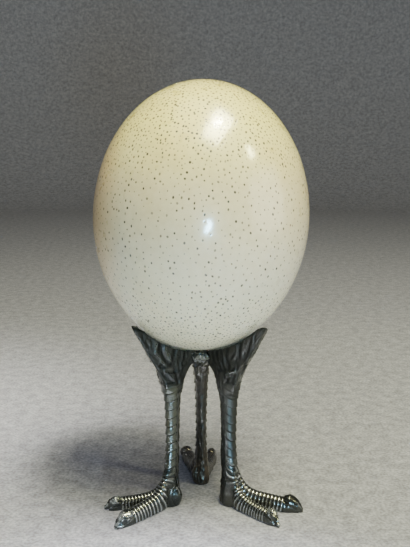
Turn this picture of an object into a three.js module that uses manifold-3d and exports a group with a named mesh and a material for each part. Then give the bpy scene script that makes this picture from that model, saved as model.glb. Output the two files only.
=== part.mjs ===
// An ostrich egg standing on a cast stand of three bird's legs.
// Millimetres, +Z up. The stand's middle is the Z axis, and the floor is z = 0.

import * as THREE from 'three';
import { mergeVertices } from 'three/addons/utils/BufferGeometryUtils.js';
import Module from 'manifold-3d';

const wasm = await Module();
wasm.setup();

const { degToRad, lerp, smoothstep } = THREE.MathUtils;
const UP = new THREE.Vector3(0, 0, 1);

// Egg: an ellipsoid, a little slimmer in its lower half, that leans towards +X.
const EGG_RADIUS = 63.4;
const EGG_HALF_HEIGHT = 79.5;
const EGG_CENTRE_X = 0.4;
const EGG_CENTRE_Z = 176.8;
const EGG_TAPER = 0.025;
const EGG_LEAN = degToRad(2.7);
const EGG_SIDES = 40;
const EGG_RINGS = 21;

// Pieces that meet keep this gap.
const FIT_GAP = 0.3;

// Legs: three castings of one pattern, drawn with +X pointing outwards. They
// were set by hand, so a bracket or a small toe turns a little from the rest.
const LEG_AXIS = 19.6;
const LEGS = [
  {
    name: 'leg_front_right',
    azimuth: degToRad(330),
    bracketTurn: degToRad(-2.5),
    smallToeTurn: degToRad(0.5),
  },
  {
    name: 'leg_rear',
    azimuth: degToRad(89.4),
    bracketTurn: 0,
    smallToeTurn: degToRad(5),
  },
  {
    name: 'leg_front_left',
    azimuth: degToRad(210),
    bracketTurn: 0,
    smallToeTurn: degToRad(-1),
  },
];

// Shank: an oval that turns a little from the outward direction.
// Each station gives its height, the oval's middle, and its half sizes.
const SHANK_TURN = degToRad(13);
const SHANK_SIDES = 12;
const SHANK_STATIONS = [
  { z: 0, out: 21.0, major: 5.4, minor: 4.6 },
  { z: 1.5, out: 21.0, major: 6.0, minor: 5.2 },
  { z: 7, out: 21.2, major: 6.2, minor: 5.1 },
  { z: 12, out: 21.3, major: 5.8, minor: 4.4 },
  { z: 18, out: 21.3, major: 5.4, minor: 3.8 },
  { z: 25, out: 20.4, major: 4.8, minor: 3.2 },
  { z: 40, out: 19.6, major: 4.4, minor: 3.0 },
  { z: 55, out: 19.5, major: 4.7, minor: 3.3 },
  { z: 64, out: 19.5, major: 5.1, minor: 3.7 },
  { z: 71, out: 19.6, major: 5.6, minor: 4.1 },
  { z: 79, out: 19.8, major: 6.1, minor: 4.4 },
];

// The stations below this height shape the foot, and the scutes follow those above it.
const ANKLE_HEIGHT = 20;

// Scutes: plates down the front of the shank, each with a proud lower edge that
// rises towards the sides. The rise dies out over the foot.
const SCUTE_COUNT = 11;
const SCUTE_TOP = 77.0;
const SCUTE_PITCH = 5.35;
const SCUTE_STEP = 0.45;
const SCUTE_EDGE = 0.5;
const SCUTE_RISE = 1.3;
const SCUTE_RISE_LOW = 10;
const SCUTE_RISE_FULL = 26;
const SCUTE_HALF_SPAN = degToRad(86);

// Toes: each runs straight from under the shank. Stations give the distance
// along it, the height of its back and its half width. The underside is flat.
const TOE_SIDES = 8;
const TOE_FLAT = 2.2;
const RING_PITCH = 2.5;
const RING_DEPTH = 0.42;
const RING_START = 10;
const BIG_TOE = {
  angle: degToRad(15.6),
  ringEnd: 36,
  body: [
    { s: 2, height: 25, half: 2.0 },
    { s: 5.8, height: 23.5, half: 2.4 },
    { s: 8.0, height: 18.3, half: 3.3 },
    { s: 10.5, height: 14.4, half: 4.0 },
    { s: 14, height: 11.4, half: 4.2 },
    { s: 19, height: 9.9, half: 4.0 },
    { s: 26, height: 8.9, half: 4.0 },
    { s: 33, height: 8.1, half: 4.1 },
    { s: 38, height: 7.6, half: 4.0 },
    { s: 42, height: 5.2, half: 3.2 },
    { s: 44.2, height: 2.2, half: 1.9 },
  ],
  nail: [
    { s: 33.6, side: 0.4, z: 6.4, half: 1.4, rise: 1.0 },
    { s: 35.2, side: 0.5, z: 6.4, half: 3.3, rise: 2.8 },
    { s: 38.2, side: 0.7, z: 5.9, half: 4.4, rise: 4.2 },
    { s: 41.2, side: 0.6, z: 4.7, half: 4.0, rise: 4.2 },
    { s: 43.8, side: 0.3, z: 3.2, half: 3.1, rise: 3.6 },
    { s: 45.4, side: 0.1, z: 2.0, half: 2.1, rise: 2.6 },
    { s: 46.6, side: 0.0, z: 1.0, half: 0.9, rise: 1.2 },
  ],
};
const SMALL_TOE = {
  angle: degToRad(-16.5),
  ringEnd: 33,
  body: [
    { s: 2, height: 22, half: 2.0 },
    { s: 5.8, height: 19.5, half: 2.6 },
    { s: 8.0, height: 14.2, half: 3.3 },
    { s: 11, height: 10.5, half: 3.7 },
    { s: 15.5, height: 8.7, half: 3.7 },
    { s: 23, height: 7.6, half: 3.5 },
    { s: 31, height: 7.3, half: 3.5 },
    { s: 35, height: 7.2, half: 3.4 },
    { s: 38.2, height: 5.2, half: 2.7 },
    { s: 40, height: 2.4, half: 1.6 },
  ],
  nail: [
    { s: 31.8, side: 0.5, z: 6.0, half: 1.2, rise: 0.9 },
    { s: 33.2, side: 0.6, z: 6.1, half: 2.5, rise: 2.2 },
    { s: 36.2, side: 0.6, z: 5.7, half: 3.1, rise: 3.3 },
    { s: 38.8, side: 0.2, z: 4.3, half: 2.6, rise: 3.4 },
    { s: 40.9, side: -0.4, z: 2.7, half: 1.9, rise: 2.6 },
    { s: 42.6, side: -0.9, z: 1.2, half: 0.9, rise: 1.2 },
  ],
};

// Heel knob: a small upright lump on the side of the foot that has the big toe.
const HEEL_KNOB = { x: 18.7, y: 3.6, z: 6.6 };
const HEEL_KNOB_HALF_SIZES = { x: 2.9, y: 2.6, z: 4.3 };
const HEEL_KNOB_SIDES = 8;
const HEEL_KNOB_RINGS = 5;

// Bracket: the folded fan above the shank, drawn as [outwards, up] edges in
// the leg's own plane, from the collar to the seat under the egg.
const BRACKET_INNER_EDGE = [
  [14.2, 72],
  [13.4, 77.5],
  [11.9, 82],
  [9.2, 86.2],
  [6.2, 89.8],
  [5.2, 94],
  [5.2, 99],
];
const BRACKET_OUTER_EDGE = [
  [25.2, 72],
  [26.5, 77.5],
  [28.6, 83],
  [31.2, 88.5],
  [36, 97.5],
  [40.8, 106.2],
  [45.4, 115.9],
];
const BRACKET_SEAT_EDGE = [
  [5.2, 99],
  [13, 100.6],
  [21, 103.6],
  [29, 107.8],
  [37, 112.5],
  [45.4, 115.9],
];
const BRACKET_ROWS = 6;
const BRACKET_COLUMNS = 11;
const BRACKET_HALF_AT_COLLAR = 4.3;
const BRACKET_HALF_AT_SEAT = 3.5;
const WING_TIP_THINNING = 0.45;

// The bracket's section is an oval at the collar and nearly square at the seat.
const SQUARENESS_AT_COLLAR = 2.2;
const SQUARENESS_AT_SEAT = 4.5;

// The bracket widens towards the hub. It does so over the inner part of its
// width, and from a share of the way up.
const HUB_END_WIDENING = 1.8;
const HUB_END_SHARE = 0.3;
const HUB_END_START = 0.3;
const HUB_END_FULL = 0.65;

// Folds: waves over the bracket's two faces. They lean outwards as they rise
// and start at part of their depth at the collar.
const FOLD_DEPTH = 0.8;
const FOLDS_LEFT = 2.4;
const FOLDS_RIGHT = 3.1;
const FOLD_LEAN = 0.12;
const FOLD_START = 0.15;

// Hub: the lump of metal that joins the three brackets under the egg. Its
// levels give the height over its bottom and the share of its full radius.
const HUB_CENTRE_X = -0.5;
const HUB_RADIUS = 6.6;
const HUB_BOTTOM = 86.2;
const HUB_LEVELS = [
  { up: 0, share: 0.45 },
  { up: 2.2, share: 0.95 },
  { up: 12.3, share: 1 },
];
const HUB_SIDES = 10;
const HUB_LUMP = 0.7;
const HUB_LUMP_COUNT = 3;

const EGGSHELL = { color: 0xe2dcc6, roughness: 0.32, metalness: 0 };
const DARK_METAL = { color: 0x3b4243, roughness: 0.36, metalness: 0.9 };

// Solid of a closed geometry, ready for joins and cuts.
function toSolid(geometry) {
  const bare = geometry.clone();
  bare.deleteAttribute('normal');
  bare.deleteAttribute('uv');
  const merged = mergeVertices(bare, 1e-4);
  const mesh = new wasm.Mesh({
    numProp: 3,
    vertProperties: new Float32Array(merged.attributes.position.array),
    triVerts: new Uint32Array(merged.index.array),
  });
  return new wasm.Manifold(mesh);
}

function toGeometry(solid) {
  const mesh = solid.getMesh();
  const geometry = new THREE.BufferGeometry();
  geometry.setAttribute('position', new THREE.BufferAttribute(mesh.vertProperties, 3));
  geometry.setIndex(new THREE.BufferAttribute(mesh.triVerts, 1));
  geometry.computeVertexNormals();
  return geometry;
}

// Closed skin over rings of points. Every ring has the same even count, and
// its points i and count - i face each other, so strips close the two ends.
function loft(rings) {
  const count = rings[0].length;
  const positions = rings.flat().flatMap((point) => [point.x, point.y, point.z]);
  const index = [];
  for (let row = 0; row < rings.length - 1; row += 1) {
    for (let i = 0; i < count; i += 1) {
      const a = row * count + i;
      const b = row * count + ((i + 1) % count);
      index.push(a, b, b + count, a, b + count, a + count);
    }
  }
  const last = (rings.length - 1) * count;
  for (let i = 0; i < count / 2; i += 1) {
    const far = (count - i) % count;
    const farNext = count - i - 1;
    if (i > 0) {
      index.push(i, far, i + 1);
      index.push(last + i, last + i + 1, last + far);
    }
    if (i + 1 < count / 2) {
      index.push(far, farNext, i + 1);
      index.push(last + far, last + i + 1, last + farNext);
    }
  }
  const geometry = new THREE.BufferGeometry();
  geometry.setAttribute('position', new THREE.Float32BufferAttribute(positions, 3));
  geometry.setIndex(index);
  return geometry;
}

// Value of one field of a station list at a place along it.
function stationValue(stations, key, at, field) {
  let i = 0;
  while (i < stations.length - 2 && stations[i + 1][key] < at) {
    i += 1;
  }
  const from = stations[i];
  const to = stations[i + 1];
  const share = THREE.MathUtils.clamp((at - from[key]) / (to[key] - from[key]), 0, 1);
  return lerp(from[field], to[field], share);
}

function eggGeometry(grow) {
  const profile = [];
  for (let i = 0; i <= EGG_RINGS; i += 1) {
    const angle = lerp(-Math.PI / 2, Math.PI / 2, i / EGG_RINGS);
    const low = Math.max(0, -Math.sin(angle));
    const radius = (EGG_RADIUS + grow) * Math.cos(angle) * (1 - EGG_TAPER * low * low);
    const onAxis = i === 0 || i === EGG_RINGS;
    profile.push(new THREE.Vector2(onAxis ? 0 : radius, (EGG_HALF_HEIGHT + grow) * Math.sin(angle)));
  }
  const geometry = new THREE.LatheGeometry(profile, EGG_SIDES);
  geometry.rotateX(Math.PI / 2);
  geometry.rotateY(EGG_LEAN);
  geometry.translate(EGG_CENTRE_X, 0, EGG_CENTRE_Z);
  return geometry;
}

// One level of the shank. The scutes stand proud only round its front.
function shankRing(z, proud) {
  const out = stationValue(SHANK_STATIONS, 'z', z, 'out');
  const major = stationValue(SHANK_STATIONS, 'z', z, 'major');
  const minor = stationValue(SHANK_STATIONS, 'z', z, 'minor');
  const rise = SCUTE_RISE * smoothstep(z, SCUTE_RISE_LOW, SCUTE_RISE_FULL);
  const ring = [];
  for (let i = 0; i < SHANK_SIDES; i += 1) {
    const angle = (i / SHANK_SIDES) * 2 * Math.PI;
    const fromFront = Math.min(angle, 2 * Math.PI - angle);
    const grow = fromFront < SCUTE_HALF_SPAN ? proud : 0;
    const along = (major + grow) * Math.cos(angle);
    const across = (minor + grow) * Math.sin(angle);
    const point = new THREE.Vector3(along, across, z + rise * (1 - Math.cos(angle)));
    point.applyAxisAngle(UP, SHANK_TURN);
    point.x += out;
    ring.push(point);
  }
  return ring;
}

function shankSolid() {
  const foot = SHANK_STATIONS.filter((station) => station.z < ANKLE_HEIGHT);
  const rings = foot.map((station) => shankRing(station.z, 0));
  for (let i = SCUTE_COUNT; i >= 0; i -= 1) {
    const edge = SCUTE_TOP - i * SCUTE_PITCH;
    rings.push(shankRing(edge - SCUTE_EDGE / 2, 0));
    rings.push(shankRing(edge + SCUTE_EDGE / 2, SCUTE_STEP));
  }
  rings.push(shankRing(SCUTE_TOP + SCUTE_PITCH / 2, 0));
  return toSolid(loft(rings));
}

// Section of a toe: an upright oval, flattened where it would pass the floor.
function toeRing(toe, s, shrink) {
  const height = stationValue(toe.body, 's', s, 'height') - shrink;
  const half = stationValue(toe.body, 's', s, 'half') - shrink;
  const ring = [];
  for (let i = 0; i < TOE_SIDES; i += 1) {
    const angle = (i / TOE_SIDES) * 2 * Math.PI;
    const middle = (height - TOE_FLAT) / 2;
    const z = Math.max(0, middle + (height - middle) * Math.sin(angle));
    ring.push(new THREE.Vector3(s, half * Math.cos(angle), z));
  }
  return ring;
}

function nailRing(station) {
  const ring = [];
  for (let i = 0; i < TOE_SIDES; i += 1) {
    const angle = (i / TOE_SIDES) * 2 * Math.PI;
    const y = station.side + station.half * Math.cos(angle);
    const z = Math.max(0, station.z + station.rise * Math.sin(angle));
    ring.push(new THREE.Vector3(station.s, y, z));
  }
  return ring;
}

// A toe with its rings and nail, running from under the shank.
function toeSolid(toe, turn) {
  const root = toe.body.filter((station) => station.s < RING_START);
  const rings = root.map((station) => toeRing(toe, station.s, 0));
  for (let s = RING_START; s < toe.ringEnd; s += RING_PITCH) {
    rings.push(toeRing(toe, s, RING_DEPTH));
    rings.push(toeRing(toe, s + RING_PITCH / 2, 0));
  }
  const tip = toe.body.filter((station) => station.s > toe.ringEnd + RING_PITCH);
  rings.push(...tip.map((station) => toeRing(toe, station.s, 0)));
  const body = loft(rings);
  const nail = loft(toe.nail.map(nailRing));
  for (const geometry of [body, nail]) {
    geometry.rotateZ(toe.angle + turn);
    geometry.translate(LEG_AXIS, 0, 0);
  }
  return toSolid(body).add(toSolid(nail));
}

function heelKnobSolid() {
  const knob = new THREE.SphereGeometry(1, HEEL_KNOB_SIDES, HEEL_KNOB_RINGS);
  knob.rotateX(Math.PI / 2);
  knob.scale(HEEL_KNOB_HALF_SIZES.x, HEEL_KNOB_HALF_SIZES.y, HEEL_KNOB_HALF_SIZES.z);
  knob.translate(HEEL_KNOB.x, HEEL_KNOB.y, HEEL_KNOB.z);
  return toSolid(knob);
}

function edgeCurve(points) {
  return new THREE.SplineCurve(points.map(([out, up]) => new THREE.Vector2(out, up)));
}

// Point of the bracket's plane, u from the inner to the outer edge and v from
// the collar to the seat, as a patch between its four edges.
function bracketPoint(edges, u, v) {
  const { inner, outer, seat } = edges;
  const collarStart = inner.getPoint(0);
  const collarEnd = outer.getPoint(0);
  const across = inner.getPoint(v).lerp(outer.getPoint(v), u);
  const along = collarStart.clone().lerp(collarEnd, u).lerp(seat.getPoint(u), v);
  const low = collarStart.clone().lerp(collarEnd, u);
  const high = inner.getPoint(1).lerp(outer.getPoint(1), u);
  return across.add(along).sub(low.lerp(high, v));
}

// Half thickness of the bracket, rounded at both edges and folded on its faces.
function bracketHalf(u, v, folds) {
  const squareness = lerp(SQUARENESS_AT_COLLAR, SQUARENESS_AT_SEAT, v);
  const rounded = (1 - Math.abs(2 * u - 1) ** squareness) ** (1 / squareness);
  const thinning = 1 - WING_TIP_THINNING * v * u * u;
  const flat = lerp(BRACKET_HALF_AT_COLLAR, BRACKET_HALF_AT_SEAT, v) * thinning;
  const hubEnd = Math.max(0, 1 - u / HUB_END_SHARE) * smoothstep(v, HUB_END_START, HUB_END_FULL);
  const wave = Math.cos(2 * Math.PI * folds * (u - FOLD_LEAN * v));
  const fading = Math.sin(Math.PI * Math.min(1, v + FOLD_START));
  return rounded * (flat + HUB_END_WIDENING * hubEnd + FOLD_DEPTH * wave * fading);
}

function bracketSolid(turn) {
  const edges = {
    inner: edgeCurve(BRACKET_INNER_EDGE),
    outer: edgeCurve(BRACKET_OUTER_EDGE),
    seat: edgeCurve(BRACKET_SEAT_EDGE),
  };
  const rings = [];
  for (let row = 0; row <= BRACKET_ROWS; row += 1) {
    const v = row / BRACKET_ROWS;
    const ring = [];
    for (let column = BRACKET_COLUMNS; column >= 0; column -= 1) {
      const u = (1 - Math.cos((Math.PI * column) / BRACKET_COLUMNS)) / 2;
      const place = bracketPoint(edges, u, v);
      ring.push(new THREE.Vector3(place.x, bracketHalf(u, v, FOLDS_LEFT), place.y));
    }
    for (let column = 1; column < BRACKET_COLUMNS; column += 1) {
      const u = (1 - Math.cos((Math.PI * column) / BRACKET_COLUMNS)) / 2;
      const place = bracketPoint(edges, u, v);
      ring.push(new THREE.Vector3(place.x, -bracketHalf(u, v, FOLDS_RIGHT), place.y));
    }
    rings.push(ring);
  }
  const geometry = loft(rings);
  geometry.rotateZ(turn);
  return toSolid(geometry);
}

function hubGeometry(grow) {
  const rings = HUB_LEVELS.map(({ up, share }) => {
    const z = HUB_BOTTOM + (up > 0 ? up : -grow);
    const ring = [];
    for (let i = 0; i < HUB_SIDES; i += 1) {
      const angle = (i / HUB_SIDES) * 2 * Math.PI;
      const lump = HUB_LUMP * Math.cos(HUB_LUMP_COUNT * angle + z);
      const radius = (HUB_RADIUS + lump) * share + grow;
      const x = HUB_CENTRE_X + radius * Math.cos(angle);
      ring.push(new THREE.Vector3(x, radius * Math.sin(angle), z));
    }
    return ring;
  });
  return loft(rings);
}

// The whole leg, cut to the egg and the hub as they lie from it.
function legGeometry({ azimuth, bracketTurn, smallToeTurn }) {
  const egg = eggGeometry(FIT_GAP);
  const hub = hubGeometry(FIT_GAP);
  egg.rotateZ(-azimuth);
  hub.rotateZ(-azimuth);
  const casting = shankSolid()
    .add(toeSolid(BIG_TOE, 0))
    .add(toeSolid(SMALL_TOE, smallToeTurn))
    .add(heelKnobSolid())
    .add(bracketSolid(bracketTurn));
  return toGeometry(casting.subtract(toSolid(egg)).subtract(toSolid(hub)));
}

function namedMesh(name, geometry, look) {
  const mesh = new THREE.Mesh(geometry, new THREE.MeshStandardMaterial(look));
  mesh.name = name;
  return mesh;
}

const part = new THREE.Group();
const stand = new THREE.Group();
part.add(namedMesh('egg', eggGeometry(0), EGGSHELL));
for (const pose of LEGS) {
  const leg = namedMesh(pose.name, legGeometry(pose), DARK_METAL);
  leg.rotation.z = pose.azimuth;
  stand.add(leg);
}
const hubSolid = toSolid(hubGeometry(0)).subtract(toSolid(eggGeometry(FIT_GAP)));
stand.add(namedMesh('hub', toGeometry(hubSolid), DARK_METAL));
part.add(stand);

export default part;
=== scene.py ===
"""The looks of an ostrich egg on a cast stand of three ostrich legs, fitted to its solid model.

Shapes are worked out in millimetres and become metres when a mesh is made. A leg is drawn in a
frame of its own: x points outwards from the stand's middle, y to the side of the big toe, z up.
"""

import itertools
import math

import bpy
import numpy as np
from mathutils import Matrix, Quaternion, Vector
from mathutils.geometry import delaunay_2d_cdt
from mathutils.kdtree import KDTree


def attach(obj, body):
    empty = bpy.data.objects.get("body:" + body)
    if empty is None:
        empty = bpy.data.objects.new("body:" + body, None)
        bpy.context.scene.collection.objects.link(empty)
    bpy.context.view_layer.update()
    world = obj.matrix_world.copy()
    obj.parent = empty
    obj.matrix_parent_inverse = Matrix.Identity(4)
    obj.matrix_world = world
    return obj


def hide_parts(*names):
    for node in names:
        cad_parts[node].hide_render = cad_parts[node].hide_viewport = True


MM = 0.001
X_AXIS = (1.0, 0.0, 0.0)
SKEW_AXIS = (0.31, 0.52, 0.79)

# ---------------- egg

EGG_RADIUS = 63.4
EGG_HALF_HEIGHT = 79.5
EGG_CENTRE = (0.4, 0.0, 176.8)
EGG_TAPER = 0.025
EGG_LEAN = math.radians(2.7)

EGG_SEED = 11
EGG_POINT_SPACING = 2.0
POINT_PACKING = 0.87
# Every unevenness in this file is layers of noise, each with its strength, cell and seed.
EGG_UNEVENNESS = ((0.05, 9.0, EGG_SEED),)
ELLIPSOID_POWER = 1.6075

# Pores are sparser and farther apart around a band just under the middle of the egg.
PORE_DENSITY = 0.125
PORE_TRIES = 8
PORE_CLEARANCE = 2.0
PORE_CLEARANCE_MIDDLE = 1.6
PORE_SPARSE_MIDDLE = 0.70
PORE_MIDDLE = -0.08
PORE_MIDDLE_REACH = (0.66, 0.25)
PORE_PAIRS = 0.05
PORE_PAIR_SHARE = 0.55
PORE_RADIUS = (0.38, 0.74)
PORE_SMALLNESS = 1.8
PORE_LENGTHENING = (0.85, 1.2)
PORE_DEPTH_SHARE = 0.05
PORE_DEPTHS = (0.8, 1.3)

# Two rings of points around a pore, as shares of its radius, and how many points each has.
PORE_WALL = 0.78
PORE_WALL_POINTS = 6
PORE_WALL_DEPTH = 0.6
PORE_LIP = 1.15
PORE_LIP_POINTS = 7
PORE_RIM = 1.75
# The dark of each pore and its halo is partly dirt in the pore and partly painted shade of its pit;
# bigger pores and pores near the top are darker.
PORE_DARKNESS = (0.52, 1.0)
PORE_DARKENING = (-0.22, PORE_RADIUS[1])
PORE_WALL_DARKNESS = 0.9
PORE_TOP_DARKENING = 0.6
PORE_TOP = (0.45, 0.85)

# ---------------- legs

LEG_AXIS = 19.6
# How the three copies of the leg differ.
LEG_COLUMNS = (
    "node", "azimuth", "bracket_turn", "small_toe_turn", "rust", "scutes_up", "flare", "matte",
    "nail_wear",
)
LEG_ROWS = [
    ("leg_front_right", 330.0, -2.5, 0.5, 0.1, 2.3, -0.6, 0.75, {"big": 0.15, "small": 1.0}),
    ("leg_rear", 89.4, 0.0, 5.0, 0.5, 0.0, 2.9, 0.4, {"big": 0.5, "small": 0.5}),
    ("leg_front_left", 210.0, 0.0, -1.0, 0.0, 0.8, -0.6, 0.0, {"big": 0.9, "small": 1.0}),
]
LEGS = [dict(zip(LEG_COLUMNS, row)) for row in LEG_ROWS]
LEG_LOW = np.array([2.0, -19.0, -1.0])
LEG_HIGH = np.array([66.0, 19.0, 119.0])
LEG_STEP = 0.31
SEAT_GAP = 0.25
SEAT_CROWN = 0.055
SEAT_CROWN_REACH = 4.5
FOOT_BELOW = 32
BRACKET_ABOVE = 60
FAR = 99.0
FILLETS = {
    "nail": 0.25, "toes": 1.2, "heel": 1.3, "foot": 1.6, "bracket": 2.4, "seat": 1.1, "edge": 0.5,
}

# Shank stations: height, middle of the oval, half sizes of the oval.
SHANK_TURN = math.radians(13)
SHANK_TOP = 85
SHANK_BLURS = (3.0, 2.0, 2.0)
SHANK_STATIONS = [
    (0, 21.0, 5.7, 4.9), (1.5, 21.0, 6.1, 5.3), (7, 21.2, 6.2, 5.2), (12, 21.3, 5.8, 4.4),
    (18, 21.3, 5.4, 3.8), (25, 20.4, 4.8, 3.2), (40, 19.6, 4.4, 3.0), (55, 19.5, 4.7, 3.3),
    (64, 19.5, 5.1, 3.7), (71, 19.6, 5.6, 4.1), (84, 19.9, 6.2, 4.4),
]

# Toe stations: distance from under the shank, height of the back, half width. Nail stations:
# distance, middle to the side and up, half width, half height.
TOE_BLUR = 1.5
NAIL_BLUR = 0.7
TOE_FLAT = 2.2
TOE_PAD_SWELL = 0.05
TOE_PAD_WAVE = 0.72
TOE_PAD_START = 0.6
TOE_PAD_HEIGHTS = (5, 1)
BIG_TOE = {
    "angle": 15.6,
    "ring_end": 35.0,
    "body": [
        (2, 25, 2.0), (5.8, 23.5, 2.4), (8.0, 18.3, 3.3), (10.5, 14.4, 4.0), (14, 11.4, 4.2),
        (19, 9.9, 4.0), (26, 8.9, 4.0), (33, 8.1, 4.1), (38, 7.6, 4.0), (42, 5.2, 3.2),
        (44.2, 2.2, 1.9),
    ],
    "nail": [
        (33.6, 0.4, 6.4, 1.4, 1.0), (35.2, 0.5, 6.4, 3.3, 2.8), (38.2, 0.7, 5.9, 4.4, 4.2),
        (41.2, 0.6, 4.7, 4.0, 4.2), (43.8, 0.3, 3.2, 3.1, 3.6), (45.4, 0.1, 2.0, 2.1, 2.6),
        (46.6, 0.0, 1.0, 0.9, 1.2),
    ],
}
SMALL_TOE = {
    "angle": -16.5,
    "ring_end": 32.5,
    "body": [
        (2, 22, 2.0), (5.8, 19.5, 2.6), (8.0, 14.2, 3.3), (11, 10.5, 3.7), (15.5, 8.7, 3.7),
        (23, 7.6, 3.5), (31, 7.3, 3.5), (35, 7.2, 3.4), (38.2, 5.2, 2.7), (40, 2.4, 1.6),
    ],
    "nail": [
        (31.8, 0.5, 6.0, 1.2, 0.9), (33.2, 0.6, 6.1, 2.5, 2.2), (36.2, 0.6, 5.7, 3.1, 3.3),
        (38.8, 0.2, 4.3, 2.6, 3.4), (40.9, -0.4, 2.7, 1.9, 2.6), (42.6, -0.9, 1.2, 0.9, 1.2),
    ],
}
HEEL_KNOB_PLACE = (18.4, 3.7, 6.0)
HEEL_KNOB_HALF = (2.7, 2.5, 5.0)

# Bracket edges in the leg's own plane: outwards, up.
BRACKET_INNER_EDGE = [
    (14.3, 72.0), (13.4, 77.5), (11.9, 82), (9.2, 86.2), (6.2, 89.8), (5.2, 94), (5.2, 99),
]
BRACKET_SEAT_EDGE = [
    (5.2, 99), (13, 101.6), (21, 104.6), (29, 108.3), (37, 112.5), (42.6, 115.4), (44.7, 116.0),
]
BRACKET_OUTER_EDGE = [
    (44.7, 116.0), (45.5, 115.0), (44.3, 112.4), (40.6, 105.8), (36, 97.5), (31.6, 89.6),
    (29.2, 84.5), (27.0, 79.5), (25.4, 75), (25.1, 72.2),
]
BRACKET_HALF = (4.1, 3.6)
BRACKET_HEIGHTS = (72, 100)
BRACKET_ROUNDING = 1.3
BRACKET_FOOT = 0.9
BRACKET_FOOT_HEIGHTS = (78, 72)
BRACKET_MAP_BOX = ((0, 62), (52, 120))
MAP_STEP = 0.25
FLARE_PLACES = (17, 10)
FLARE_HEIGHTS = (76, 86)
WING_PLACES = (20, 46)
WING_THINNING = 0.4
WING_TILT = 0.45
WING_TILT_PLACES = (30, 40)
NOTCH_DEPTH = 1.3
NOTCH_FROM = 22
NOTCH_SIDE = (0.8, -1.0)
NOTCH_HEIGHTS = (81.5, 88.0, 91.6, 92.4)

# Scutes and rings: one run of bands, wide down the shank and narrow over the toes.
BAND_TOP = 77.0
SCUTE_PITCH = 5.35
RING_PITCH = {"big": 2.3, "small": 2.0}
RINGS_BEGIN = (BAND_TOP - 26, BAND_TOP - 15)
BAND_REACH = (-20, 140)
BAND_TABLE_STEP = 0.1
RIDGE_OUT = 4.3
RIDGE_ON_SHANK = [(4.2, 90), (RIDGE_OUT, 60), (4.6, 40), (5.0, 30)]
RIDGE_ON_TOE = (5, 40)
RIDGE_MAP_BOX = ((-14, -2), (48, 92))
SCUTE_STEP = 0.80
SCUTE_SLOPE = 0.95
SCUTE_SINK = 0.05
SCUTE_LIP = (1.0, 0.93)
SCUTE_ROOT = (0.1, 0.0)
SCUTE_WEAR = 0.9
SCUTE_LINES = 0.015
SCUTE_LINE_COUNT = 4
SCUTE_SWAY = ((0.35, (9, 9, 7), 9),)
SCUTE_SIDES = (-116, -106, 86, 96)
SCUTE_HEIGHTS = (9, 20, 79.2, 80.2)
SCUTE_RISE = ((52, 116, 3.6), (26, 98, 2.3))
SCUTE_RISE_MOST = 1.2
SCUTE_RISE_BEND = 1.4
SCUTE_RISE_HEIGHTS = (12, 26)
RING_DEPTH = 0.50
RING_ROUNDNESS = 0.75
RING_CREST = (0.72, 1.0)
RING_GROOVE = (0.78, 0.3)
RINGS_NEAR = (1.6, 0.6)
RINGS_OUT = (6.5, 9.5)
RINGS_STOP = 0.2
RINGS_FADE = 1.2
TOE_BELOW = 40

# Folds on a bracket's two sides: width, depth, then outwards and up for each point of its line.
# A negative depth is a ridge.
FOLDS_LEFT = [
    (1.15, 1.25, 28.9, 106.5, 28.7, 103.0, 28.2, 99.0, 26.0, 94.6, 22.9, 90.4),
    (0.75, 0.75, 28.6, 91.2, 27.0, 90.0, 25.0, 89.6, 22.9, 90.4),
    (1.0, -0.55, 26.3, 105.0, 26.2, 100.0, 24.2, 95.6, 22.2, 92.8),
    (1.2, -0.45, 31.6, 104.5, 31.0, 98.0, 28.6, 93.4),
    (0.7, 0.6, 39.5, 111.4, 38.2, 107.0, 36.4, 104.0, 33.3, 99.6),
    (0.8, 0.75, 36.6, 100.6, 33.8, 97.9, 30.8, 95.6, 29.3, 92.4, 27.2, 89.0),
    (0.6, 0.45, 34.4, 107.6, 34.0, 103.6, 32.4, 100.6),
    (0.9, 0.8, 19.9, 101.5, 20.8, 96.0, 20.9, 91.0, 19.8, 85.0, 18.2, 80.5),
    (0.8, 0.75, 29.8, 90.4, 28.4, 86.3, 26.1, 83.2, 22.4, 80.6),
    (0.7, 0.5, 12.6, 98.4, 12.6, 94.0, 14.4, 89.6),
    (0.6, 0.45, 9.4, 97.6, 10.3, 94.4, 12.2, 90.8),
    (0.8, 0.45, 16.2, 99.6, 16.6, 95.0, 17.3, 90.0, 16.6, 85.6),
]
FOLDS_RIGHT = [
    (0.6, 0.6, 19.3, 87.9, 18.6, 85.7, 19.2, 82.9, 21.4, 82.4),
    (0.6, 0.6, 25.2, 90.1, 24.3, 86.0, 25.6, 83.2, 27.6, 84.9),
    (0.7, 0.75, 22.2, 84.6, 22.0, 81.2, 19.2, 78.4),
    (0.7, 0.65, 22.0, 81.2, 24.8, 79.2),
    (0.8, 0.7, 16.4, 100.4, 16.9, 94.1, 18.9, 88.6),
    (0.7, 0.55, 13.0, 98.6, 13.6, 94.2, 15.4, 90.0, 16.7, 86.4),
    (0.9, 0.8, 29.8, 105.4, 29.4, 100.6, 27.3, 94.6, 27.9, 89.8),
    (0.8, 0.6, 32.6, 97.6, 33.6, 101.6, 35.6, 106.4),
    (0.9, 0.75, 21.8, 102.4, 21.2, 94.2, 22.3, 87.8),
    (0.9, 0.5, 25.4, 103.6, 24.8, 98.2, 24.9, 93.0),
    (0.7, 0.7, 33.0, 93.0, 32.0, 90.8, 31.0, 87.4, 29.0, 82.4),
    (0.7, 0.45, 39.8, 110.8, 38.8, 106.4, 36.4, 102.0),
    (0.6, 0.5, 9.4, 97.6, 10.2, 93.6, 12.4, 89.8),
]
# Knobs on the right side: outwards, up, radius and height.
KNOBS_RIGHT = [(20.6, 85.6, 1.7, 0.7), (23.4, 86.6, 1.5, 0.55), (25.9, 87.0, 1.5, 0.6)]

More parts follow.
